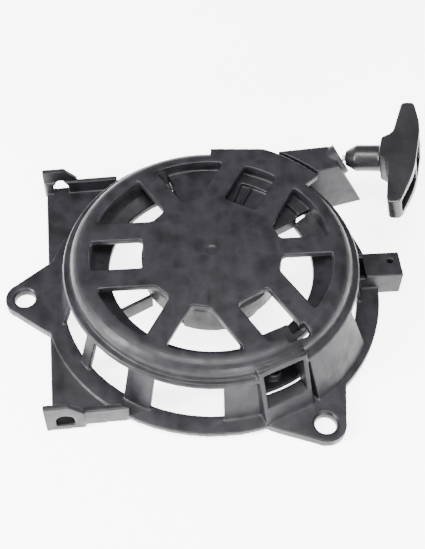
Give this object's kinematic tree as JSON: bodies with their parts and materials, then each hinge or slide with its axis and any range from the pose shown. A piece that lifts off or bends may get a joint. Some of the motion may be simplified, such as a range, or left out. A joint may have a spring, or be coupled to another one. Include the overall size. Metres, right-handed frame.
{
  "type": "recoil starter",
  "caption": "Round moulded case with three bolt ears, slotted top and a side rope guide, holding a spring-driven rope reel with pawls and a T-handled pull rope.",
  "frame": {"origin": "middle of the assembly's footprint on the mounting plane, the underside of the ears", "axes": "+Z out of the case top, along the spin axis; +X towards the grip side, away from the left ear; +Y to the rope guide side"},
  "size_m": [0.2408, 0.1978, 0.0491],
  "materials": {
    "case_nylon": "satin black glass-filled nylon, faint moulding texture",
    "grip_nylon": "semi-gloss black nylon",
    "reel_nylon": "matt black nylon",
    "steel": "zinc-plated steel",
    "spring_steel": "oiled blue-grey spring steel",
    "brass": "sintered bronze, matt",
    "rope": "braided off-white nylon rope"
  },
  "bodies": {
    "case": {"starter_case": "case_nylon", "rope_guide_bush": "steel", "post_sleeve": "brass", "thrust_washer": "steel", "centre_screw": "steel", "rope_run": "rope"},
    "pull_grip": {"grip": "grip_nylon", "knot_washer": "steel", "grip_knot": "rope", "rope_tail": "rope"},
    "rope_reel": {"reel": "reel_nylon", "recoil_spring": "spring_steel", "rope_winding": "rope", "reel_knot": "rope", "pawl_spring_a": "spring_steel", "pawl_spring_b": "spring_steel"},
    "guide_plate": {"ratchet_guide": "reel_nylon", "friction_spring": "spring_steel"},
    "drive_pawl_a": {"pawl_a": "steel"},
    "drive_pawl_b": {"pawl_b": "steel"}
  },
  "joints": [
    {"name": "grip_pull", "type": "slide", "parent": "case", "child": "pull_grip", "axis": [0.9305, -0.2889, 0.225], "range_m": [0, 1.2], "stiffness_N_per_m": 20, "springref_m": -0.75, "deforming": ["rope_tail"]},
    {"name": "reel_spin", "type": "hinge", "parent": "case", "child": "rope_reel", "pos_m": [-0.00899, -0.00093, 0.025], "axis": [0, 0, 1], "range_deg": [-2480, 0], "deforming": ["recoil_spring"]},
    {"name": "guide_turn", "type": "hinge", "parent": "rope_reel", "child": "guide_plate", "pos_m": [-0.00899, -0.00093, 0.0106], "axis": [0, 0, 1], "range_deg": [0, 30], "stiffness_Nm_per_rad": 0.004, "springref_deg": -17.19},
    {"name": "pawl_a_swing", "type": "hinge", "parent": "rope_reel", "child": "drive_pawl_a", "pos_m": [0.01001, -0.00093, 0.0143], "axis": [0, 0, 1], "range_deg": [0, 30], "deforming": ["pawl_spring_a"]},
    {"name": "pawl_b_swing", "type": "hinge", "parent": "rope_reel", "child": "drive_pawl_b", "pos_m": [-0.02799, -0.00093, 0.0143], "axis": [0, 0, 1], "range_deg": [0, 30], "deforming": ["pawl_spring_b"]}
  ],
  "couplings": [
    {"joint": "reel_spin", "follows": "grip_pull", "rad_per_m": -35.971},
    {"joint": "pawl_a_swing", "follows": "guide_turn", "ratio": 1},
    {"joint": "pawl_b_swing", "follows": "guide_turn", "ratio": 1}
  ]
}
